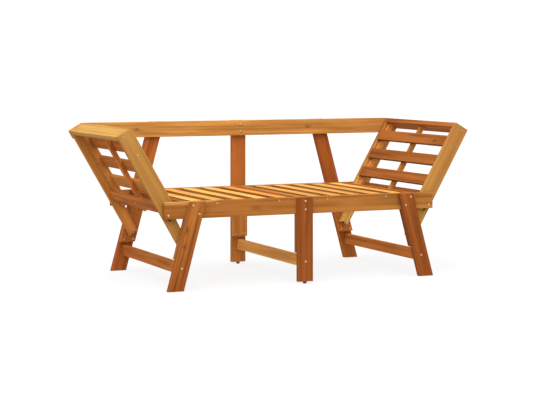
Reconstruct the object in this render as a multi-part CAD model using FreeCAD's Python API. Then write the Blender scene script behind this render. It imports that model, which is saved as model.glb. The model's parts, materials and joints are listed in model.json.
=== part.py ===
import FreeCAD, Part
import math
import os

from FreeCAD import Rotation, Vector

# A slatted garden bench whose two side panels fold down, so that it becomes a flat daybed.
# X runs along the bench, Y from the front to the back, and Z up from the ground.
# The origin is on the ground, under the middle of the bench. All sizes are millimetres.

# Timber
board = 20.5                   # thickness of legs, rails, doublers, stretchers and stiles
slat_thickness = 17.0
slat_width = 50.0
edge_radius = 1.6              # the rounding of every long edge

# Frame
frame_depth = 740.0            # over the outer faces of the front and rear legs
seat_height = 364.0
rail_length = 1260.0
rail_height = 70.0
back_height = 668.0
back_rail_height = 70.0
leg_width = 67.0               # square across a splayed leg
leg_splay = 15.27              # degrees from upright
center_leg_width = 69.0
doubler_foot = 130.0           # height of the doublers' lower ends
stretcher_height = 47.0
stretcher_middle = 92.5        # height of the stretchers' centre line
glide_height = 9.0
glide_radius = 8.0
glide_pin_radius = 3.0
glide_pin_length = 18.0

# Seat
seat_slats_per_side = 5
seat_middle_bar_width = 35.0
seat_first_gap = 37.0          # beside the middle bar
seat_last_gap = 28.5           # beside the end batten
seat_end_clearance = 13.5      # from the seat's end to the nearest swing of a side panel

# Side panels, measured from the pivot: inward and outward across a stile, up and down along it
panel_lean = 30.25             # degrees from upright, at rest
panel_top = 387.5
stile_outward = 20.0
stile_inward = 49.0
tail_inward = 27.0             # the stile is narrower below its step
tail_tip_inward = 22.0         # and narrows a little more to the end of its tail
tail_step = 20.0               # the step's depth below the pivot
notch_depth = 151.0            # from the pivot down to the notch's corner
notch_half_angle = 60.0        # degrees
panel_slat_count = 3
panel_slat_first = 99.0        # middle of the lowest slat
panel_slat_pitch = 98.5
bottom_board_middle = 34.0
pivot_from_rail_end = 18.5
pivot_above_rail_foot = 14.5
panel_lift = 28.0              # how far a panel is lifted off its lock pegs

# Lock pegs and dowels
peg_radius = 4.0               # a steel pin
peg_seat = 15.0                # how deep a peg is let into its board
peg_inside_leg_line = 6.43     # from a splayed leg's centre line to the peg in it
dowel_radius = 4.0
dowel_seat = 15.0              # how deep a dowel is let in, on each side of its joint

# Bolts, nuts and screws
bolt_radius = 3.0
bolt_head_radius = 5.2
bolt_head_height = 2.6
bolt_socket_radius = 2.3       # to the corners of the hexagon
bolt_socket_depth = 1.5
nut_sleeve_radius = 4.5
nut_sleeve_length = 14.0
nut_flange_radius = 6.5
nut_flange_height = 1.5
bolt_end_gap = 3.0             # from the end of a bolt to the outer face of its sleeve nut
stretcher_bolt_bite = 50.0     # length in the stretcher's end grain
pivot_bolt_radius = 3.0
pivot_head_radius = 5.8
pivot_head_height = 2.8
slot_depth = 14.0              # of the blind slot in a stile's outer face
pivot_end_gap = 1.0            # from the pivot bolt's end to the slot's floor
screw_radius = 2.1
screw_head_radius = 4.3
screw_head_depth = 2.6
screw_bite = 15.0              # length in the second board
screw_cross_length = 4.6
screw_cross_width = 0.9
screw_cross_depth = 1.3

# Places of the fasteners
leg_bolt_below_rail_top = 15.3
leg_bolt_above_rail_foot = 19.5
leg_bolt_offset = 18.0         # to each side of a splayed leg's centre line
ledger_screw_places = (113.5, 396.5)
back_rail_fixing_spacing = 32.0
doubler_screw_offset = 23.5
doubler_screw_rise = 12.0
stile_screw_inward = 17.0
stile_screw_rises = (40.0, 280.0)
top_board_screw_inward = 4.5
top_board_screw_drop = 14.5    # below the panel's top

# Clearances
swing_gap = 0.5                # beside a stile that swings
pivot_fit = 0.05               # radial, pivot bolt in its rail
slot_fit = 0.3                 # beside the pivot bolt in the stile's slot
notch_fit = 0.3                # between a notch and its peg
bore_fit = 0.05                # radial, round bolts, screws, pegs and dowels

# Levels and layers
rail_foot = seat_height - rail_height
leg_face = frame_depth / 2
rail_face = leg_face - board
frame_face = rail_face - board
stile_face = frame_face - swing_gap
panel_face = stile_face - board
seat_face = frame_face - board
pivot_x = rail_length / 2 - pivot_from_rail_end
pivot_z = rail_foot + pivot_above_rail_foot
peg_reach = notch_depth + (peg_radius + notch_fit) / math.sin(math.radians(notch_half_angle))
seat_half_length = pivot_x - math.hypot(stile_inward, tail_step) - seat_end_clearance
panel_slat_foot = stile_inward - slat_thickness
lean = math.radians(panel_lean)
splay_slope = math.tan(math.radians(leg_splay))
leg_half_width = leg_width / 2 / math.cos(math.radians(leg_splay))
upright_peg_x = pivot_x - peg_reach * math.sin(lean)
upright_peg_z = pivot_z - peg_reach * math.cos(lean)
left, right = -1, 1
front, rear = -1, 1
side_names = {left: "left", right: "right"}
end_names = {front: "front", rear: "rear"}


# Shapes

def box(low_x, high_x, low_y, high_y, low_z, high_z):
    """A block between two corners, given in either order."""
    low = Vector(min(low_x, high_x), min(low_y, high_y), min(low_z, high_z))
    size = Vector(abs(high_x - low_x), abs(high_y - low_y), abs(high_z - low_z))
    return Part.makeBox(size.x, size.y, size.z, low)


def plate(outline, near_y, far_y):
    """A flat board from an outline of (x, z) points, between two depths."""
    corners = [Vector(x, min(near_y, far_y), z) for x, z in outline]
    face = Part.Face(Part.makePolygon(corners + corners[:1]))
    return face.extrude(Vector(0, abs(far_y - near_y), 0))


def eased(shape, direction):
    """Rounds the edges that run along a direction."""
    along = []
    for edge in shape.Edges:
        tangent = edge.tangentAt(edge.FirstParameter)
        if abs(tangent.dot(direction.normalize())) > 0.9999:
            along.append(edge)
    return shape.makeFillet(edge_radius, along)


def eased_box(low_x, high_x, low_y, high_y, low_z, high_z):
    """A block with its longest edges rounded."""
    shape = box(low_x, high_x, low_y, high_y, low_z, high_z)
    lengths = {"x": abs(high_x - low_x), "y": abs(high_y - low_y), "z": abs(high_z - low_z)}
    axes = {"x": Vector(1, 0, 0), "y": Vector(0, 1, 0), "z": Vector(0, 0, 1)}
    return eased(shape, axes[max(lengths, key=lengths.get)])


def placed(shape, point, direction):
    """Turns a fastener, made with its head up on the origin, to drive along a direction."""
    moved = shape.copy()
    moved.Placement = FreeCAD.Placement(point, Rotation(Vector(0, 0, -1), direction))
    return moved


def on_panel(shape, side):
    """Takes a shape from a panel's own axes to the leaning panel on one side."""
    moved = shape.copy()
    moved.rotate(Vector(0, 0, 0), Vector(0, 1, 0), side * panel_lean)
    moved.translate(Vector(side * pivot_x, 0, pivot_z))
    return moved


def panel_point(side, inward, y, rise):
    """A point of a leaning panel."""
    x = side * (pivot_x + rise * math.sin(lean) - inward * math.cos(lean))
    z = pivot_z + rise * math.cos(lean) + inward * math.sin(lean)
    return Vector(x, y, z)


def inward_direction(side):
    """The direction square to a leaning panel, towards the seat."""
    return Vector(-side * math.cos(lean), 0, math.sin(lean))


def panel_board(side, outer, inner, low, high, near_y, far_y):
    """A board of a panel, between two distances inward and two heights along the stile."""
    return on_panel(eased_box(-side * outer, -side * inner, near_y, far_y, low, high), side)


def leg_line(z):
    """Distance of a splayed leg's centre line from the middle of the bench, at a height."""
    return upright_peg_x + peg_inside_leg_line + (upright_peg_z - z) * splay_slope


def splayed_board(side, low_z, high_z, near_y, far_y):
    """A board on the line of a splayed leg, cut level at both ends."""
    outline = []
    for z, half in ((low_z, leg_half_width), (low_z, -leg_half_width),
                    (high_z, -leg_half_width), (high_z, leg_half_width)):
        outline.append((side * (leg_line(z) + half), z))
    shape = plate(outline, near_y, far_y)
    return eased(shape, Vector(-side * splay_slope, 0, 1))


# Fasteners, each with the top of its board at the origin and its shank pointing down

def hexagon(radius, height, low_z):
    """A hexagonal prism that stands on a level."""
    corners = []
    for step in range(6):
        turn = math.radians(60 * step)
        corners.append(Vector(radius * math.cos(turn), radius * math.sin(turn), low_z))
    return Part.Face(Part.makePolygon(corners + corners[:1])).extrude(Vector(0, 0, height))


def rod(radius, top, bottom):
    """A round rod down the axis."""
    return Part.makeCylinder(radius, top - bottom, Vector(0, 0, bottom))


def round_head(radius, height):
    """A low domed head with a hexagon socket."""
    head = Part.makeCylinder(radius, height)
    rim = [edge for edge in head.Edges if edge.BoundBox.ZMin > height / 2]
    domed = head.makeFillet(height * 0.85, rim)
    return domed.cut(hexagon(bolt_socket_radius, height, height - bolt_socket_depth))


def bolt(shank):
    """A bolt with a plain end."""
    return round_head(bolt_head_radius, bolt_head_height).fuse(rod(bolt_radius, 0, -shank))


def sleeve_nut(grip):
    """A sleeve nut let in flush with the far face of the boards, with a blind bore."""
    flange = rod(nut_flange_radius, nut_flange_height - grip, -grip)
    sleeve = rod(nut_sleeve_radius, nut_sleeve_length - grip, -grip)
    bore = rod(bolt_radius + bore_fit, 0, bolt_end_gap - grip)
    return flange.fuse(sleeve).cut(bore)


def through_bolt_hole(grip):
    """The hole for a bolt and its sleeve nut."""
    shank = rod(bolt_radius + bore_fit, 0, -grip)
    flange = rod(nut_flange_radius + bore_fit, nut_flange_height - grip, -grip)
    sleeve = rod(nut_sleeve_radius + bore_fit, nut_sleeve_length - grip, -grip)
    return shank.fuse([flange, sleeve])


def stretcher_bolt_shape(fit):
    """The shank of a bolt that bites into end grain, grown by a fit."""
    end = board + stretcher_bolt_bite
    point = Part.makeCone(0, bolt_radius + fit, bolt_radius, Vector(0, 0, -end - bolt_radius))
    return rod(bolt_radius + fit, 0, -end).fuse(point)


def stretcher_bolt():
    """A bolt through a leg into the end of a stretcher."""
    return round_head(bolt_head_radius, bolt_head_height).fuse(stretcher_bolt_shape(0))


def screw_body(length, fit):
    """A countersunk screw without its cross recess, grown by a fit."""
    head = Part.makeCone(screw_radius + fit, screw_head_radius + fit, screw_head_depth,
                         Vector(0, 0, -screw_head_depth))
    tip_height = screw_radius * 2
    tip = Part.makeCone(0, screw_radius + fit, tip_height, Vector(0, 0, -length))
    return head.fuse([rod(screw_radius + fit, -screw_head_depth, tip_height - length), tip])


def screw(length):
    """A countersunk wood screw with a cross recess."""
    half = screw_cross_length / 2
    thin = screw_cross_width / 2
    shape = screw_body(length, 0)
    for reach_x, reach_y in ((half, thin), (thin, half)):
        shape = shape.cut(box(-reach_x, reach_x, -reach_y, reach_y, -screw_cross_depth, 0))
    return shape


def pivot_bolt():
    """The bolt on which a panel turns and slides, with its plain end in the stile's slot."""
    reach = rail_face - stile_face + slot_depth - pivot_end_gap
    head = round_head(pivot_head_radius, pivot_head_height)
    return head.fuse(rod(pivot_bolt_radius, 0, -reach))


# Pieces. Every node's shape is kept here under its name.

pieces = {}
holes = {"frame": [], "left": [], "right": []}


def add_legs():
    """The three front legs and the three rear posts, which also carry the back rail."""
    for end, name, top in ((front, "front_leg", seat_height), (rear, "rear_post", back_height)):
        for side in (left, right):
            leg = splayed_board(side, 0, top, end * rail_face, end * leg_face)
            pieces[f"{name}_{side_names[side]}"] = leg
        half = center_leg_width / 2
        leg = eased_box(-half, half, end * rail_face, end * leg_face, glide_height, top)
        pieces[f"{name}_center"] = leg


def panel_reach(z):
    """How far a side panel's outline reaches from the middle of the bench, at a height."""
    outer_edge = pivot_x + (z - pivot_z) * math.tan(lean) + stile_outward / math.cos(lean)
    top_middle = panel_point(right, 0, 0, panel_top)
    top_edge = top_middle.x - (z - top_middle.z) / math.tan(lean)
    return min(outer_edge, top_edge)


def add_rails():
    """The rails that carry the seat, and the back rail, with its ends cut to the side panels."""
    half = rail_length / 2
    for end in (front, rear):
        rail = eased_box(-half, half, end * frame_face, end * rail_face, rail_foot, seat_height)
        pieces[f"{end_names[end]}_rail"] = rail
    low = back_height - back_rail_height
    corner = panel_point(right, -stile_outward, 0, panel_top).z
    outline = []
    for z in sorted({low, min(max(corner, low), back_height), back_height}):
        outline.append((panel_reach(z), z))
    outline.extend([(-x, z) for x, z in reversed(outline)])
    pieces["back_rail"] = eased(plate(outline, frame_face, rail_face), Vector(1, 0, 0))


def add_doublers():
    """The short boards on the inner faces of the legs, under the rails."""
    half = center_leg_width / 2
    for end in (front, rear):
        name = f"{end_names[end]}_doubler"
        for side in (left, right):
            doubler = splayed_board(side, doubler_foot, rail_foot, end * frame_face, end * rail_face)
            pieces[f"{name}_{side_names[side]}"] = doubler
        doubler = eased_box(-half, half, end * frame_face, end * rail_face, doubler_foot, rail_foot)
        pieces[f"{name}_center"] = doubler


def add_stretchers():
    """The boards on edge that tie each front leg to the post behind it."""
    low = stretcher_middle - stretcher_height / 2
    high = stretcher_middle + stretcher_height / 2
    places = {"left": -leg_line(stretcher_middle), "center": 0, "right": leg_line(stretcher_middle)}
    for name, x in places.items():
        stretcher = eased_box(x - board / 2, x + board / 2, -rail_face, rail_face, low, high)
        pieces[f"stretcher_{name}"] = stretcher


def seat_slat_places():
    """Distances of the seat slats' middles from the middle of the bench."""
    start = seat_middle_bar_width / 2 + seat_first_gap
    end = seat_half_length - board - seat_last_gap
    spare = end - start - seat_slats_per_side * slat_width
    pitch = slat_width + spare / (seat_slats_per_side - 1)
    return [start + slat_width / 2 + step * pitch for step in range(seat_slats_per_side)]


def add_seat():
    """Two ledgers, the middle bar, the end battens and the slats between the ledgers."""
    low = seat_height - board
    for end in (front, rear):
        ledger = eased_box(-seat_half_length, seat_half_length, end * seat_face, end * frame_face,
                           low, seat_height)
        pieces[f"seat_ledger_{end_names[end]}"] = ledger
    half = seat_middle_bar_width / 2
    pieces["seat_center_bar"] = eased_box(-half, half, -seat_face, seat_face, low, seat_height)
    for side in (left, right):
        batten = eased_box(side * (seat_half_length - board), side * seat_half_length,
                           -seat_face, seat_face, low, seat_height)
        pieces[f"seat_end_batten_{side_names[side]}"] = batten
        for number, middle in enumerate(seat_slat_places(), 1):
            slat = eased_box(side * middle - slat_width / 2, side * middle + slat_width / 2,
                             -seat_face, seat_face, seat_height - slat_thickness, seat_height)
            pieces[f"seat_slat_{side_names[side]}_{number}"] = slat


def stile(side, end):
    """A panel's stile, with its narrow tail, its notch for the lock pegs and its blind slot."""
    flank = 1 / math.tan(math.radians(notch_half_angle))
    outline = [(-stile_outward, panel_top), (stile_inward, panel_top),
               (stile_inward, -tail_step), (tail_inward, -tail_step),
               (tail_tip_inward, -notch_depth - tail_tip_inward * flank), (0, -notch_depth),
               (-stile_outward, -notch_depth - stile_outward * flank)]
    flat = [(-side * inward, rise) for inward, rise in outline]
    shape = eased(plate(flat, end * panel_face, end * stile_face), Vector(0, 0, 1))
    half = pivot_bolt_radius + slot_fit
    slot_floor = stile_face - slot_depth
    slot = box(-half, half, end * slot_floor, end * stile_face, -panel_lift, 0)
    for rise in (0, -panel_lift):
        start = Vector(0, min(end * slot_floor, end * stile_face), rise)
        slot = slot.fuse(Part.makeCylinder(half, slot_depth, start, Vector(0, 1, 0)))
    return on_panel(shape.cut(slot), side)


def add_panel(side):
    """One side panel: two stiles, a top board, three slats, a bottom board and three battens."""
    name = side_names[side]
    for end in (front, rear):
        pieces[f"{name}_stile_{end_names[end]}"] = stile(side, end)
    top = panel_board(side, -stile_outward, stile_inward, panel_top - board, panel_top,
                      -panel_face, panel_face)
    pieces[f"{name}_top_board"] = top
    for number in range(panel_slat_count):
        middle = panel_slat_first + number * panel_slat_pitch
        slat = panel_board(side, panel_slat_foot, stile_inward, middle - slat_width / 2,
                           middle + slat_width / 2, -panel_face, panel_face)
        pieces[f"{name}_slat_{number + 1}"] = slat
    batten_foot = panel_slat_foot - board
    bottom = panel_board(side, batten_foot - slat_thickness, batten_foot,
                         bottom_board_middle - slat_width / 2, bottom_board_middle + slat_width / 2,
                         -panel_face, panel_face)
    pieces[f"{name}_bottom_board"] = bottom
    battens = []
    for middle in batten_places():
        battens.append(panel_board(side, batten_foot, panel_slat_foot, -tail_step,
                                   panel_top - board, middle - board / 2, middle + board / 2))
    pieces[f"{name}_rib"] = battens[1]
    pieces[f"{name}_side_battens"] = Part.makeCompound([battens[0], battens[2]])


def batten_places():
    """Depths of the middles of a panel's three battens."""
    outer = panel_face - board / 2
    return [-outer, 0, outer]


# Fasteners in place. Each adds its solids to a node and its hole to the body that it holds.

def fasten(node, body, point, direction, solids, hole):
    """Adds a fastener and keeps the hole that it needs."""
    for solid in solids:
        pieces.setdefault(node, []).append(placed(solid, point, direction))
    holes[body].append(placed(hole, point, direction))


def back_rail_fixing_heights():
    """Heights of the two fixings of the back rail to each post."""
    middle = back_height - back_rail_height / 2
    return [middle - back_rail_fixing_spacing / 2, middle + back_rail_fixing_spacing / 2]


def add_leg_bolts():
    """Two bolts join each leg to its rail, one joins it to its stretcher, and two hold the back rail."""
    grip = leg_face - frame_face
    solids = [bolt(grip - bolt_end_gap), sleeve_nut(grip)]
    hole = through_bolt_hole(grip)
    high = seat_height - leg_bolt_below_rail_top
    low = rail_foot + leg_bolt_above_rail_foot
    for end in (front, rear):
        inward = Vector(0, -end, 0)
        for side in (left, right):
            for z, offset in ((high, leg_bolt_offset), (low, -leg_bolt_offset)):
                point = Vector(side * (leg_line(z) + offset), end * leg_face, z)
                fasten("frame_bolts", "frame", point, inward, solids, hole)
        for z in (high, low):
            point = Vector(0, end * leg_face, z)
            fasten("frame_bolts", "frame", point, inward, solids, hole)
        for side in (left, 0, right):
            x = side * leg_line(stretcher_middle)
            point = Vector(x, end * leg_face, stretcher_middle)
            fasten("frame_bolts", "frame", point, inward, [stretcher_bolt()],
                   stretcher_bolt_shape(bore_fit))
    for z in back_rail_fixing_heights():
        fasten("frame_bolts", "frame", Vector(0, frame_face, z), Vector(0, 1, 0), solids, hole)


def add_frame_screws():
    """Screws hold the seat's ledgers, the doublers and the two ends of the back rail."""
    length = board + screw_bite
    solids = [screw(length)]
    hole = screw_body(length, bore_fit)
    for end in (front, rear):
        for x in ledger_screw_places:
            for side in (left, right):
                point = Vector(side * x, end * rail_face, seat_height - board / 2)
                fasten("frame_screws", "frame", point, Vector(0, -end, 0), solids, hole)
        z = doubler_foot + doubler_screw_rise
        for side in (left, 0, right):
            for offset in (-doubler_screw_offset, doubler_screw_offset):
                point = Vector(side * leg_line(z) + offset, end * frame_face, z)
                fasten("frame_screws", "frame", point, Vector(0, end, 0), solids, hole)
    for side in (left, right):
        for z in back_rail_fixing_heights():
            point = Vector(side * leg_line(z), leg_face, z)
            fasten("frame_screws", "frame", point, Vector(0, -1, 0), solids, hole)


def add_panel_screws(side):
    """Screws join a panel's stiles to its battens and top board, and its slats to the battens."""
    name = side_names[side]
    node = f"{name}_panel_screws"
    long_screw = screw(board + screw_bite)
    long_hole = screw_body(board + screw_bite, bore_fit)
    places = [(stile_screw_inward, rise) for rise in stile_screw_rises]
    places.append((top_board_screw_inward, panel_top - top_board_screw_drop))
    for end in (front, rear):
        for inward, rise in places:
            point = panel_point(side, inward, end * stile_face, rise)
            fasten(node, name, point, Vector(0, -end, 0), [long_screw], long_hole)
    batten_foot = panel_slat_foot - board
    slat_bite = board + slat_thickness / 2
    for middle_y in batten_places():
        for number in range(panel_slat_count):
            rise = panel_slat_first + number * panel_slat_pitch
            point = panel_point(side, batten_foot, middle_y, rise)
            fasten(node, name, point, inward_direction(side), [screw(slat_bite)],
                   screw_body(slat_bite, bore_fit))
        point = panel_point(side, batten_foot - slat_thickness, middle_y, bottom_board_middle)
        reach = slat_thickness + board / 2
        fasten(node, name, point, inward_direction(side), [screw(reach)],
               screw_body(reach, bore_fit))


def add_pivot_bolts(side):
    """The two bolts that carry a panel."""
    node = f"{side_names[side]}_pivot_bolts"
    hole = rod(pivot_bolt_radius + pivot_fit, 0, frame_face - rail_face)
    for end in (front, rear):
        point = Vector(side * pivot_x, end * rail_face, pivot_z)
        fasten(node, "frame", point, Vector(0, -end, 0), [pivot_bolt()], hole)


def add_lock_pegs():
    """Pegs that the tails drop onto: on the doublers when upright, on the rails when flat."""
    peg = rod(peg_radius, peg_seat, -board)
    hole = rod(peg_radius + bore_fit, peg_seat, 0)
    for side in (left, right):
        for end in (front, rear):
            for x, z in ((upright_peg_x, upright_peg_z), (pivot_x - peg_reach, pivot_z)):
                point = Vector(side * x, end * frame_face, z)
                fasten("lock_pegs", "frame", point, Vector(0, -end, 0), [peg], hole)


def add_seat_dowels():
    """Dowels join every seat member to the two ledgers."""
    dowel = rod(dowel_radius, dowel_seat, -dowel_seat)
    hole = rod(dowel_radius + bore_fit, dowel_seat, -dowel_seat)
    places = [0]
    for x in seat_slat_places() + [seat_half_length - board / 2]:
        places.extend((-x, x))
    for end in (front, rear):
        for x in places:
            point = Vector(x, end * seat_face, seat_height - slat_thickness / 2)
            fasten("seat_dowels", "frame", point, Vector(0, -end, 0), [dowel], hole)


def add_glides():
    """The two glides under the middle leg and the middle post."""
    pin = rod(glide_pin_radius, glide_height + glide_pin_length, glide_height)
    glide = rod(glide_radius, glide_height, 0).fuse(pin)
    hole = rod(glide_pin_radius + bore_fit, glide_height + glide_pin_length, glide_height)
    for end in (front, rear):
        point = Vector(0, end * (leg_face - board / 2), 0)
        fasten("glides", "frame", point, Vector(0, 0, -1), [glide], hole)


def body_of(name):
    """The body whose holes a piece has to take."""
    for side in side_names.values():
        if name.startswith(side + "_"):
            return side
    return "frame"


def drill_boards():
    """Cuts into each board the holes of the fasteners that reach it."""
    for name, shape in pieces.items():
        if isinstance(shape, list):
            continue
        near = [hole for hole in holes[body_of(name)] if hole.BoundBox.intersect(shape.BoundBox)]
        if near:
            pieces[name] = shape.cut(near)


def write_pieces():
    """Writes one file for each node."""
    os.makedirs("parts", exist_ok=True)
    for name, shape in pieces.items():
        if isinstance(shape, list):
            shape = Part.makeCompound(shape)
        shape.exportStep(f"parts/{name}.step")
        print(name, len(shape.Solids), "solids", round(shape.Volume / 1000), "cm3", shape.isValid())


add_legs()
add_rails()
add_doublers()
add_stretchers()
add_seat()
for panel_side in (left, right):
    add_panel(panel_side)
    add_panel_screws(panel_side)
    add_pivot_bolts(panel_side)
add_leg_bolts()
add_frame_screws()
add_lock_pegs()
add_seat_dowels()
add_glides()
drill_boards()
write_pieces()
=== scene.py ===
import json
import math
import random

import bpy
from mathutils import Matrix, Vector


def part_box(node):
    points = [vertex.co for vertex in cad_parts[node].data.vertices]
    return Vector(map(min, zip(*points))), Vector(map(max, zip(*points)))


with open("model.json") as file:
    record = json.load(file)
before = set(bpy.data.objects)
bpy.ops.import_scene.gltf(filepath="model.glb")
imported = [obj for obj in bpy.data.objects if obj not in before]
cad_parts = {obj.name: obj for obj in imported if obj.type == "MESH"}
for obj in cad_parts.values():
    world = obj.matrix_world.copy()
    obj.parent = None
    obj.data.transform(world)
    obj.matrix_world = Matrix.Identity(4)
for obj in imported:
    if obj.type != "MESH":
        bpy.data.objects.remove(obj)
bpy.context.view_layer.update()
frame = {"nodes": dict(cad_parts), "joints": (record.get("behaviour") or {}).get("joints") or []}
nodes = frame["nodes"]
joints = {joint["name"]: joint for joint in frame["joints"]}
sides = {"left": -1, "right": 1}
print("frame loaded:", len(nodes), "nodes")


# Shader helpers

noiseMiddle = 0.5


class Wire:
    # a node's output that can be used in sums like a number
    def __init__(self, tree, socket):
        self.tree = tree
        self.socket = socket

    def maths(self, operation, first, second=0.0):
        node = self.tree.nodes.new("ShaderNodeMath")
        node.operation = operation
        plug(self.tree, first, node.inputs[0])
        plug(self.tree, second, node.inputs[1])
        return Wire(self.tree, node.outputs[0])

    def __add__(self, other):
        return self.maths("ADD", self, other)

    def __radd__(self, other):
        return self.maths("ADD", other, self)

    def __sub__(self, other):
        return self.maths("SUBTRACT", self, other)

    def __rsub__(self, other):
        return self.maths("SUBTRACT", other, self)

    def __mul__(self, other):
        return self.maths("MULTIPLY", self, other)

    def __rmul__(self, other):
        return self.maths("MULTIPLY", other, self)

    def __truediv__(self, other):
        return self.maths("DIVIDE", self, other)

    def __rtruediv__(self, other):
        return self.maths("DIVIDE", other, self)

    def __pow__(self, other):
        return self.maths("POWER", self, other)

    def __abs__(self):
        return self.maths("ABSOLUTE", self)

    def clamped(self):
        return self.maths("MINIMUM", self.maths("MAXIMUM", self, 0.0), 1.0)

    def larger(self, other):
        return self.maths("MAXIMUM", self, other)


def plug(tree, value, socket):
    if isinstance(value, Wire):
        tree.links.new(value.socket, socket)
    else:
        socket.default_value = value


def colour(parts, share=1.0):
    # red, green and blue, each times the share, with full cover
    return (*(share * part for part in parts), 1.0)


def hypotenuse(first, second):
    return (first * first + second * second) ** 0.5


class Finish:
    # one material and its nodes
    def __init__(self, name, metallic=0.0, specular=0.5):
        self.material = bpy.data.materials.new(name)
        self.material.use_nodes = True
        self.tree = self.material.node_tree
        self.shader = self.tree.nodes["Principled BSDF"]
        self.shader.inputs["Metallic"].default_value = metallic
        self.shader.inputs["Specular IOR Level"].default_value = specular

    def node(self, kind, sockets=None, output=0, **settings):
        made = self.tree.nodes.new("ShaderNode" + kind)
        for key, value in settings.items():
            setattr(made, key, value)
        for key, value in (sockets or {}).items():
            plug(self.tree, value, made.inputs[key])
        return Wire(self.tree, made.outputs[output])

    def objectPlace(self):
        return self.node("TexCoord", output="Object")

    def parts(self, vector):
        split = self.node("SeparateXYZ", {"Vector": vector}).socket.node
        return [Wire(self.tree, socket) for socket in split.outputs]

    def noise(self, place, detail, scale=1.0, roughness=0.5, distortion=0.0):
        return self.node("TexNoise", {"Vector": place, "Scale": scale, "Detail": detail,
                                      "Roughness": roughness, "Distortion": distortion},
                         noise_dimensions="3D")

    def ramp(self, value, low, high, softness="SMOOTHSTEP"):
        return self.node("MapRange", {"Value": value, "From Min": low, "From Max": high},
                         interpolation_type=softness, clamp=True)

    def blend(self, amount, first, second, mode="MIX"):
        # inputs 6 and 7 and output 2 are the colour ones
        return self.node("Mix", {"Factor": amount, 6: first, 7: second}, output=2,
                         data_type="RGBA", blend_type=mode)

    def shadeBy(self, body, level):
        return self.blend(1.0, body, level, "MULTIPLY")

    def wear(self, body, roughness, height=None, bumpDistance=0.0):
        plug(self.tree, body, self.shader.inputs["Base Color"])
        plug(self.tree, roughness, self.shader.inputs["Roughness"])
        if height is not None:
            bump = self.node("Bump", {"Height": height, "Distance": bumpDistance, "Strength": 1.0})
            plug(self.tree, bump, self.shader.inputs["Normal"])
        return self.material


def cover(nodeName, material):
    materials = nodes[nodeName].data.materials
    materials.clear()
    materials.append(material)


# Wood. Each tone is the light and the dark of one board's grain, and its sapwood.

woodTones = {
    "blond": {"light": (0.35, 0.19, 0.045), "dark": (0.195, 0.092, 0.02), "sap": (0.48, 0.29, 0.095)},
    "straw": {"light": (0.366, 0.17, 0.04), "dark": (0.195, 0.078, 0.018), "sap": (0.46, 0.265, 0.085)},
    "honey": {"light": (0.3, 0.113, 0.024), "dark": (0.155, 0.05, 0.01), "sap": (0.42, 0.22, 0.06)},
    "amber": {"light": (0.245, 0.078, 0.0158), "dark": (0.125, 0.035, 0.0067),
              "sap": (0.35, 0.15, 0.036)},
    "russet": {"light": (0.215, 0.059, 0.0122), "dark": (0.105, 0.026, 0.0052),
               "sap": (0.32, 0.115, 0.026)},
}

# Noise along and across the grain, in repeats per metre. Each board draws its layers in this order.
grainLayers = {
    "wave": {"along": 2.6, "across": 9.0, "detail": 2.0},
    "cloud": {"along": 2.2, "across": 11.0, "detail": 2.0},
    "streak": {"along": 1.1, "across": 62.0, "detail": 4.0, "roughness": 0.62, "distortion": 0.35},
    "fibre": {"along": 16.0, "across": 900.0, "detail": 3.0, "roughness": 0.6},
    "pore": {"along": 75.0, "across": 1500.0, "detail": 1.0},
}

grain = {
    "jump": 40.0,                     # each pattern starts up to this far from its origin
    "ringSpacing": 0.0042,            # metres between growth rings
    "ringNoise": {"Scale": 1.0, "Detail": 1.5, "Roughness": 0.45},
    "heartDistance": 0.085,           # metres from the board's middle to the tree's heart
    "heartSpread": (0.6, 1.5),        # least and most, times that distance
    "heartAside": 0.6,                # in half widths of the board
    "waviness": 0.009,
    "slant": 0.012,                   # how far the rings may lean along the board
    "ringBand": (0.38, 0.68),         # part of each noise that is drawn, from faint to full
    "streakBand": (0.36, 0.70),
    "cloudBand": (0.35, 0.68),
    "poreBand": (0.66, 0.80),
    "cloudMiddle": 0.4,               # the clouds' share that leaves the tone as it is
    "ringDepth": 0.32,                # how strongly each shows in the colour
    "streakDepth": 0.62,
    "cloudDepth": 0.45,
    "fibreDepth": 0.20,
    "poreDepth": 0.30,
    "poreTint": 0.45,                 # share of the board's dark tone
    "edgeBand": (0.0007, 0.0002),     # metres in from the sawn edge, from none to full
    "endShade": 0.85,
    "toneAndLightDriftShares": (0.7, 1.3, 1.3),   # of red, green and blue
    "roughness": 0.62,
    "fibreRoughness": 0.16,
    "ringRoughness": 0.05,
    "specular": 0.015,
    "fibreHeight": 0.55,
    "ringHeight": 0.25,
    "poreHeight": 0.8,
    "bump": 0.00022,
    "seedStart": 3,                   # weight of a name's first letter
}

# Lengths are in sizes of the knot
knotShape = {
    "squash": 0.5,                    # knots are twice as long along the grain
    "swellReach": 3.2,
    "swellPush": 1.6,                 # how far the rings are pushed aside
    "coreReach": 0.95,
    "coreFull": 0.35,
    "haloReach": 2.6,
    "haloFull": 0.6,
    "haloDepth": 0.45,
    "depth": 0.85,
    "tint": 0.22,                     # share of the board's dark tone
}

sapShape = {
    "wander": 0.006,                  # metres, as is the blur
    "blur": 0.0012,
    "overrun": 0.06,                  # carries the narrow end off the board
    "grainShows": 0.35,
}


def boardAxes(along, normal):
    # grain along the first axis, the broad face square to the third
    first = Vector(along).normalized()
    third = Vector(normal).normalized()
    second = third.cross(first).normalized()
    third = first.cross(second)
    return Matrix((first, second, third)).transposed()


def boardFrame(nodeName, axes):
    # middle and half sizes of a node's mesh along its own axes
    turned = [axes.transposed() @ vertex.co for vertex in nodes[nodeName].data.vertices]
    low = Vector(min(point[i] for point in turned) for i in range(3))
    high = Vector(max(point[i] for point in turned) for i in range(3))
    return axes @ ((low + high) / 2), (high - low) / 2


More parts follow.
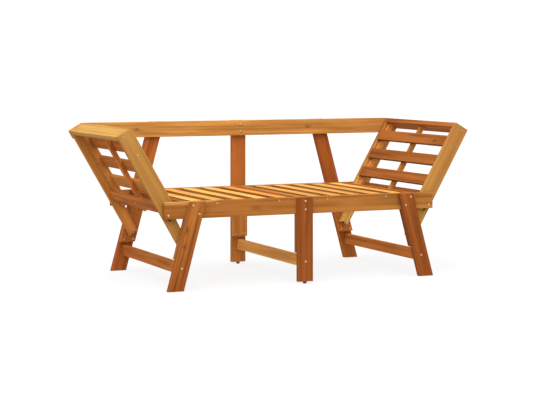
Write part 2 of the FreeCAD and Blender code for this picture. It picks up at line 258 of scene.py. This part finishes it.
def grainLayer(finish, local, shift, along, across, **look):
    # a fresh part of the noise for every board and layer
    jumps = [shift.uniform(-grain["jump"], grain["jump"]) for _ in local]
    scaled = [part * scale + jump for part, scale, jump in zip(local, (along, across, across), jumps)]
    return finish.noise(finish.node("CombineXYZ", dict(zip("XYZ", scaled))), **look)


def ringRadius(local, half, wave, shift):
    # how far the wood lies from the tree's heart, which is beside the board
    along, across, through = local
    heartAcross = shift.uniform(-grain["heartAside"], grain["heartAside"]) * half.y
    heartThrough = shift.choice((-1, 1)) * grain["heartDistance"] * shift.uniform(*grain["heartSpread"])
    radius = hypotenuse(across - heartAcross, through - heartThrough)
    return radius + wave * grain["waviness"] + along * shift.uniform(-grain["slant"], grain["slant"])


def addKnots(finish, local, half, wave, radius, knots):
    # each knot pushes the rings aside and leaves a dark core in a paler halo
    shape = knotShape
    marks = None
    for knotAlong, knotAcross, size, depth in knots:
        deltaAlong = (local[0] - knotAlong * half.x) * shape["squash"]
        deltaAcross = local[1] - knotAcross * half.y
        distance = hypotenuse(deltaAlong, deltaAcross)
        swell = finish.ramp(distance, size * shape["swellReach"], 0.0)
        radius = radius + swell * swell * (size * shape["swellPush"])
        core = finish.ramp(distance + wave * size, size * shape["coreReach"], size * shape["coreFull"])
        halo = finish.ramp(distance, size * shape["haloReach"], size * shape["haloFull"])
        mark = core.larger(halo * shape["haloDepth"]) * depth
        marks = mark if marks is None else marks.larger(mark)
    return radius, marks


def sapwoodShare(finish, local, half, wave, depth, edge, width, fullAt, goneAt):
    # a pale strip on one edge, which narrows to nothing along the board
    narrowing = finish.ramp(local[0], fullAt * half.x, goneAt * half.x, "LINEAR")
    reach = half.y * (1 - width + narrowing * (width + sapShape["overrun"]))
    inside = local[1] * edge + wave * sapShape["wander"] - reach
    strip = finish.ramp(inside, -sapShape["blur"], sapShape["blur"])
    return strip * (1 - depth * sapShape["grainShows"])


def woodMaterial(nodeName, axes, seed, tone, shade=1.0, contrast=1.0, toneAndLightDrift=0.0, edgeShade=1.0,
                 knots=(), sapwood=None):
    # knots: place along and across in half sizes, size in metres and depth of colour
    middle, half = boardFrame(nodeName, axes)
    shift = random.Random(seed)
    finish = Finish("wood_" + nodeName, specular=grain["specular"])
    turned = finish.node("Mapping", {"Vector": finish.objectPlace(), "Location": middle,
                                     "Rotation": axes.to_euler()}, vector_type="TEXTURE")
    local = finish.parts(turned)
    along, across, _ = local
    layers = {name: grainLayer(finish, local, shift, **look) for name, look in grainLayers.items()}
    wave = layers["wave"] - noiseMiddle
    fibre = layers["fibre"]
    radius = ringRadius(local, half, wave, shift)
    radius, knotMarks = addKnots(finish, local, half, wave, radius, knots)
    rings = finish.node("TexNoise", {"W": radius / grain["ringSpacing"], **grain["ringNoise"]},
                        noise_dimensions="1D")
    ringLine = finish.ramp(rings, *grain["ringBand"])
    streaks = finish.ramp(layers["streak"], *grain["streakBand"])
    clouds = finish.ramp(layers["cloud"], *grain["cloudBand"]) - grain["cloudMiddle"]
    pores = finish.ramp(layers["pore"], *grain["poreBand"])

    light = colour(woodTones[tone]["light"], shade)
    dark = [shade * part for part in woodTones[tone]["dark"]]
    depth = ringLine * (grain["ringDepth"] * contrast)
    depth = depth + streaks * (grain["streakDepth"] * contrast)
    depth = depth + clouds * (grain["cloudDepth"] * contrast)
    depth = depth + (fibre - noiseMiddle) * grain["fibreDepth"]
    body = finish.blend(depth.clamped(), light, colour(dark))
    if sapwood:
        strip = sapwoodShare(finish, local, half, wave, depth, **sapwood)
        body = finish.blend(strip, body, colour(woodTones[tone]["sap"], shade))
    body = finish.blend(pores * grain["poreDepth"], body, colour(dark, grain["poreTint"]))
    if knotMarks is not None:
        body = finish.blend(knotMarks * knotShape["depth"], body, colour(dark, knotShape["tint"]))

    # narrow faces are multiplied by the edge value: below one it is painted shade, as in the gaps between
    # slats and on shaded edges, above one it is painted light on lit top edges; end grain is made darker
    edgeStart, edgeFull = grain["edgeBand"]
    sawn = finish.ramp(abs(across), half.y - edgeStart, half.y - edgeFull)
    ends = finish.ramp(abs(along), half.x - edgeStart, half.x - edgeFull)
    body = finish.shadeBy(body, (1 - sawn * (1 - edgeShade)) * (1 - ends * (1 - grain["endShade"])))
    # the colour grows paler and less red towards one end: on some boards, such as the front rail, this is
    # their own tone; on the rear posts and the right stiles it is painted light that brightens their
    # shaded lower parts
    pale = finish.ramp(along, -half.x, half.x, "LINEAR")
    lowEnd = colour([1 - share * toneAndLightDrift for share in grain["toneAndLightDriftShares"]])
    highEnd = colour([1 + share * toneAndLightDrift for share in grain["toneAndLightDriftShares"]])
    body = finish.shadeBy(body, finish.blend(pale, lowEnd, highEnd))

    roughness = grain["roughness"] + (fibre - noiseMiddle) * grain["fibreRoughness"]
    roughness = roughness + ringLine * grain["ringRoughness"]
    height = fibre * grain["fibreHeight"] + ringLine * grain["ringHeight"] - pores * grain["poreHeight"]
    return finish.wear(body, roughness, height, grain["bump"])


def dress(nodeName, axes, **look):
    # a node's name seeds its figure
    seed = sum(ord(letter) * weight for weight, letter in enumerate(nodeName, grain["seedStart"]))
    cover(nodeName, woodMaterial(nodeName, axes, seed, **look))


# Directions, among them the splay of the legs and the lean of each side panel

facing = Vector((0, -1, 0))
backward = Vector((0, 1, 0))
leftward = Vector((-1, 0, 0))
rightward = Vector((1, 0, 0))
upward = Vector((0, 0, 1))

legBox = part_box("front_leg_right")
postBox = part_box("rear_post_right")
legSize = legBox[1] - legBox[0]
postSize = postBox[1] - postBox[0]
splay = (postSize.x - legSize.x) / (postSize.z - legSize.z)


def splayedAxes(side):
    return boardAxes((-sides[side] * splay, 0, 1), facing)


def liftDirection(side):
    return Vector(joints[side + "_panel_lift"]["axis"])


def panelNormal(side):
    # out of the panel's inner face
    lift = liftDirection(side)
    return Vector((-sides[side] * lift.z, 0, sides[side] * lift.x))


# Legs, posts and doublers

legLooks = {
    "front_leg_left": {"tone": "amber", "shade": 1.09, "contrast": 1.6, "toneAndLightDrift": 0.22,
                       "knots": [(0.32, 0.55, 0.005, 0.9), (-0.02, 0.35, 0.005, 0.8)]},
    "front_leg_center": {"tone": "russet", "shade": 0.93},
    "front_leg_right": {"tone": "russet", "shade": 1.05, "contrast": 0.8, "toneAndLightDrift": 0.08},
    "rear_post_left": {"tone": "russet", "shade": 1.54, "contrast": 1.4, "toneAndLightDrift": 0.16},
    # the rear centre and right posts' negative drift brightens their lower parts as painted light
    "rear_post_center": {"tone": "amber", "shade": 1.31, "contrast": 0.6, "toneAndLightDrift": -0.13},
    "rear_post_right": {"tone": "russet", "shade": 1.30, "contrast": 0.75, "toneAndLightDrift": -0.14},
    "front_doubler_left": {"tone": "honey"},
    "front_doubler_center": {"tone": "honey"},
    "front_doubler_right": {"tone": "russet"},
    "rear_doubler_left": {"tone": "amber", "shade": 1.53},
    "rear_doubler_center": {"tone": "honey", "shade": 1.57},
    "rear_doubler_right": {"tone": "amber", "shade": 2.10},
}


def dressLegs():
    for name, look in legLooks.items():
        side = name.rsplit("_", 1)[1]
        axes = boardAxes(upward, facing) if side == "center" else splayedAxes(side)
        dress(name, axes, **look)
    print("legs, posts and doublers dressed")


# Rails and stretchers

railLooks = {
    # the front rail's edge value above one is painted light on its top edge
    "front_rail": {"tone": "honey", "shade": 0.92, "toneAndLightDrift": 0.12, "edgeShade": 1.2,
                   "knots": [(-0.35, -0.1, 0.007, 0.45)],
                   "sapwood": {"edge": 1, "width": 0.3, "fullAt": -0.78, "goneAt": -0.60}},
    "rear_rail": {"tone": "honey"},
    "back_rail": {"tone": "straw", "shade": 1.29, "toneAndLightDrift": -0.1,
                  "knots": [(-0.62, 0.0, 0.004, 1.0), (0.42, 0.0, 0.0055, 1.0)]},
}

stretcherLooks = {
    # edge values above one are painted light on the stretchers' top edges
    "stretcher_left": {"tone": "amber", "shade": 1.23, "toneAndLightDrift": -0.2, "edgeShade": 1.1},
    "stretcher_center": {"tone": "straw", "shade": 1.56, "toneAndLightDrift": -0.11},
    "stretcher_right": {"tone": "amber", "shade": 1.70, "edgeShade": 1.25},
}


def dressRails():
    for name, look in railLooks.items():
        dress(name, boardAxes(rightward, facing), **look)
    for name, look in stretcherLooks.items():
        dress(name, boardAxes(backward, leftward), **look)
    print("rails and stretchers dressed")


# Seat

seatLooks = {
    "slatSeed": 7,
    "slatTones": ("straw", "straw", "honey", "straw"),
    "slatShades": (1.5, 1.95),
    # the slats' narrow faces are darkened as painted shade, for the dark gaps between slats
    "slatPaintedEdgeShade": 0.42,
    "ledgers": {"tone": "honey"},
    "middleBar": {"tone": "honey", "shade": 1.1},
    "endBattens": {"tone": "amber", "shade": 1.2},
}


def dressSeat():
    crosswise = boardAxes(backward, upward)
    pick = random.Random(seatLooks["slatSeed"])
    for name in sorted(nodes):
        if name.startswith("seat_slat"):
            tone = pick.choice(seatLooks["slatTones"])
            shade = pick.uniform(*seatLooks["slatShades"])
            dress(name, crosswise, tone=tone, shade=shade, edgeShade=seatLooks["slatPaintedEdgeShade"])
    for end in ("front", "rear"):
        dress("seat_ledger_" + end, boardAxes(rightward, upward), **seatLooks["ledgers"])
    dress("seat_center_bar", crosswise, **seatLooks["middleBar"])
    for side in sides:
        dress("seat_end_batten_" + side, crosswise, **seatLooks["endBattens"])
    print("seat dressed")


# Side panels

panelLooks = {
    "left_stile_front": {"tone": "straw", "shade": 0.84, "contrast": 0.65, "toneAndLightDrift": 0.1},
    "left_stile_rear": {"tone": "honey", "shade": 1.35, "contrast": 0.6, "toneAndLightDrift": 0.1},
    "left_top_board": {"tone": "blond", "shade": 1.03},
    # edge values below one are painted shade on the narrow faces of slats, stiles and top boards
    "left_slat_1": {"tone": "honey", "shade": 1.46, "edgeShade": 0.8},
    "left_slat_2": {"tone": "amber", "shade": 1.40, "edgeShade": 0.8},
    "left_slat_3": {"tone": "russet", "shade": 1.86, "edgeShade": 0.8},
    "left_bottom_board": {"tone": "amber", "shade": 1.62, "contrast": 1.3},
    "left_rib": {"tone": "amber", "shade": 1.89},
    "left_side_battens": {"tone": "honey", "shade": 1.45},
    # the right stiles' negative drift brightens their lower parts as painted light
    "right_stile_front": {"tone": "straw", "shade": 0.88, "contrast": 0.5, "toneAndLightDrift": -0.13},
    "right_stile_rear": {"tone": "straw", "shade": 1.45, "edgeShade": 0.6, "toneAndLightDrift": -0.3},
    "right_top_board": {"tone": "amber", "shade": 1.65, "edgeShade": 0.75},
    "right_slat_1": {"tone": "amber", "shade": 1.02, "edgeShade": 0.8},
    "right_slat_2": {"tone": "amber", "shade": 0.96, "edgeShade": 0.8},
    "right_slat_3": {"tone": "amber", "shade": 0.98, "edgeShade": 0.8,
                     "knots": [(-0.72, 0.2, 0.006, 0.6)]},
    "right_bottom_board": {"tone": "amber", "shade": 1.15},
    "right_rib": {"tone": "honey", "shade": 1.51},
    "right_side_battens": {"tone": "honey", "shade": 1.55},
}


def dressPanels():
    for name, look in panelLooks.items():
        side = name.split("_", 1)[0]
        lift = liftDirection(side)
        if "stile" in name:
            axes = boardAxes(lift, facing)
        elif "rib" in name or "battens" in name:
            axes = boardAxes(lift, panelNormal(side))
        elif "top_board" in name:
            axes = boardAxes(backward, lift)
        else:
            axes = boardAxes(backward, panelNormal(side))
        dress(name, axes, **look)
    print("side panels dressed")


# Bolts, screws, pegs, glides and dowels

metalLooks = {
    "bolts": {"tint": (0.52, 0.36, 0.18), "roughness": 0.38},
    "screws": {"tint": (0.46, 0.33, 0.16), "roughness": 0.42},
    "pegs": {"tint": (0.30, 0.27, 0.22), "roughness": 0.42},
}

# Dull patches and fine scratches, with their noise in repeats per metre
metalWear = {
    "patches": {"scale": 260.0, "detail": 3.0},
    "patchBand": (0.38, 0.66),
    "patchTint": 0.72,                # share of the metal's tint
    "patchRoughness": 0.25,
    "scratches": {"scale": 2600.0, "detail": 2.0},
    "scratchRoughness": 0.1,
    "bump": 0.00003,
}

plasticLook = {
    "tint": (0.012, 0.012, 0.013),
    "specular": 0.4,
    "roughness": 0.5,
    "pebbles": {"scale": 1800.0, "detail": 2.0},
    "pebbleRoughness": 0.15,
    "dust": {"scale": 120.0, "detail": 3.0},
    "dustBand": (0.45, 0.75),
    "dustTint": (0.05, 0.045, 0.04),
    "dustDepth": 0.5,
    "bump": 0.00004,
}

dowelLook = {"tone": "straw"}


def metalMaterial(name, tint, roughness):
    finish = Finish(name, metallic=1.0)
    place = finish.objectPlace()
    patches = finish.noise(place, **metalWear["patches"])
    scratches = finish.noise(place, **metalWear["scratches"])
    dullness = finish.ramp(patches, *metalWear["patchBand"])
    body = finish.blend(dullness, colour(tint), colour(tint, metalWear["patchTint"]))
    rough = roughness + (patches - noiseMiddle) * metalWear["patchRoughness"]
    rough = rough + (scratches - noiseMiddle) * metalWear["scratchRoughness"]
    return finish.wear(body, rough, scratches, metalWear["bump"])


def plasticMaterial(name):
    look = plasticLook
    finish = Finish(name, specular=look["specular"])
    place = finish.objectPlace()
    pebbles = finish.noise(place, **look["pebbles"])
    dust = finish.ramp(finish.noise(place, **look["dust"]), *look["dustBand"])
    body = finish.blend(dust * look["dustDepth"], colour(look["tint"]), colour(look["dustTint"]))
    return finish.wear(body, look["roughness"] + pebbles * look["pebbleRoughness"], pebbles, look["bump"])


def dressHardware():
    bolts = metalMaterial("zinc_bolt", **metalLooks["bolts"])
    screws = metalMaterial("zinc_screw", **metalLooks["screws"])
    pegs = metalMaterial("steel_peg", **metalLooks["pegs"])
    glide = plasticMaterial("black_glide")
    finishes = {"frame_bolts": bolts, "left_pivot_bolts": bolts, "right_pivot_bolts": bolts,
                "frame_screws": screws, "left_panel_screws": screws, "right_panel_screws": screws,
                "lock_pegs": pegs, "glides": glide}
    for name, material in finishes.items():
        cover(name, material)
    dress("seat_dowels", boardAxes(backward, upward), **dowelLook)
    print("hardware dressed")


# Floor, light and camera

white = colour((1.0, 1.0, 1.0))

floorLook = {
    "size": 160.0,
    "tint": (0.10, 0.10, 0.10),
    "glow": 0.81,                     # a lit white table: most of its light is its own
    "patches": {"scale": 3.0, "detail": 3.0},
    "patchTint": 0.98,
    "patchDepth": 0.15,
    "roughness": 0.9,
    "patchRoughness": 0.05,
}

lightLook = {
    "skyStrength": 1.01,
    "lamps": {
        "overhead": {"power": 4.6, "softness": 70.0, "from": (-0.35, -0.3, 1.0)},
        "front": {"power": 1.4, "softness": 60.0, "from": (-0.1, -1.0, 0.45)},
    },
}

# Where the photo was taken from, in metres from the middle of the bench on the ground
cameraLook = {
    "place": (-2.8726, -6.3456, 0.9379),
    "turn": 24.31,                    # degrees to the right of straight ahead
    "lens": 104.97,
    "sensor": 36.0,
    "imageWidth": 537,
    "imageHeight": 410,
    "horizonRow": 62.03,              # rows down from the top of the image
}


def makeFloor():
    look = floorLook
    reach = look["size"] / 2
    mesh = bpy.data.meshes.new("floor")
    mesh.from_pydata([(-reach, -reach, 0), (reach, -reach, 0), (reach, reach, 0), (-reach, reach, 0)],
                     [], [(0, 1, 2, 3)])
    floor = bpy.data.objects.new("floor", mesh)
    bpy.context.scene.collection.objects.link(floor)
    finish = Finish("pale_floor", specular=0.0)
    patches = finish.noise(finish.objectPlace(), **look["patches"])
    body = finish.blend(patches * look["patchDepth"], colour(look["tint"]),
                        colour(look["tint"], look["patchTint"]))
    finish.shader.inputs["Emission Color"].default_value = white
    finish.shader.inputs["Emission Strength"].default_value = look["glow"]
    mesh.materials.append(finish.wear(body, look["roughness"] + patches * look["patchRoughness"]))


def makeLight():
    scene = bpy.context.scene
    world = bpy.data.worlds.new("studio")
    world.use_nodes = True
    background = world.node_tree.nodes["Background"]
    background.inputs["Color"].default_value = white
    background.inputs["Strength"].default_value = lightLook["skyStrength"]
    scene.world = world
    scene.view_settings.view_transform = "Standard"
    for name, look in lightLook["lamps"].items():
        lamp = bpy.data.lights.new(name, "SUN")
        lamp.energy = look["power"]
        lamp.angle = math.radians(look["softness"])
        holder = bpy.data.objects.new(name, lamp)
        holder.rotation_euler = Vector(look["from"]).to_track_quat("Z", "Y").to_euler()
        scene.collection.objects.link(holder)


def makeCamera():
    look = cameraLook
    lens = bpy.data.cameras.new("photo_view")
    lens.lens = look["lens"]
    lens.sensor_width = look["sensor"]
    lens.sensor_fit = "HORIZONTAL"
    lens.shift_y = (look["horizonRow"] - look["imageHeight"] / 2) / look["imageWidth"]
    camera = bpy.data.objects.new("photo_view", lens)
    camera.location = look["place"]
    camera.rotation_euler = (math.pi / 2, 0, -math.radians(look["turn"]))
    bpy.context.scene.collection.objects.link(camera)
    bpy.context.scene.camera = camera


dressLegs()
dressRails()
dressSeat()
dressPanels()
dressHardware()
makeFloor()
makeLight()
makeCamera()
print("floor, light and camera made")
